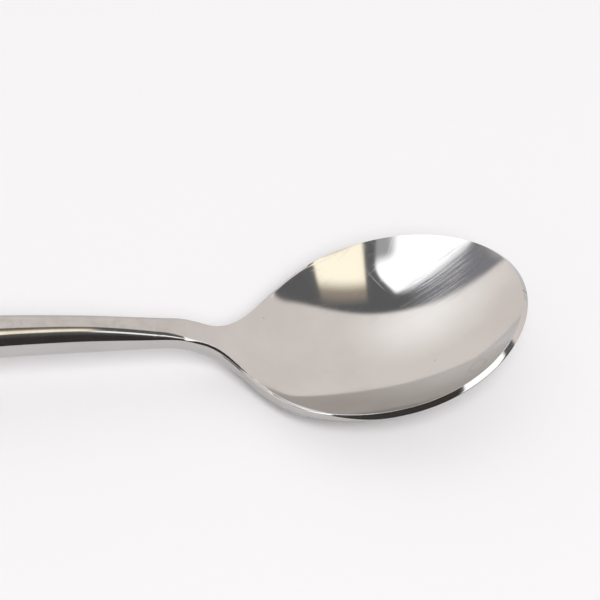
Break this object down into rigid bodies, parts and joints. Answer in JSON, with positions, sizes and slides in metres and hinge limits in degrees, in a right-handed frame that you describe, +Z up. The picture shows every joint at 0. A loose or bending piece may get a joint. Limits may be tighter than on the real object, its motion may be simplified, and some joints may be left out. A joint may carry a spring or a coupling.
{
  "type": "teaspoon",
  "caption": "Polished steel teaspoon with an oval dished bowl, a bent neck and a rounded arched handle that flattens to a round tail.",
  "frame": {"origin": "on the table under the middle of the spoon's length, as it lies face up", "axes": "+X along the spoon to the tip of the bowl, +Z up out of the bowl, Y across"},
  "size_m": [0.138, 0.0334, 0.0123],
  "materials": {
    "polished_steel": "polished, with fine scratches from use"
  },
  "bodies": {
    "root": {"bowl": "polished_steel", "neck": "polished_steel", "handle": "polished_steel", "tail": "polished_steel"}
  },
  "joints": []
}
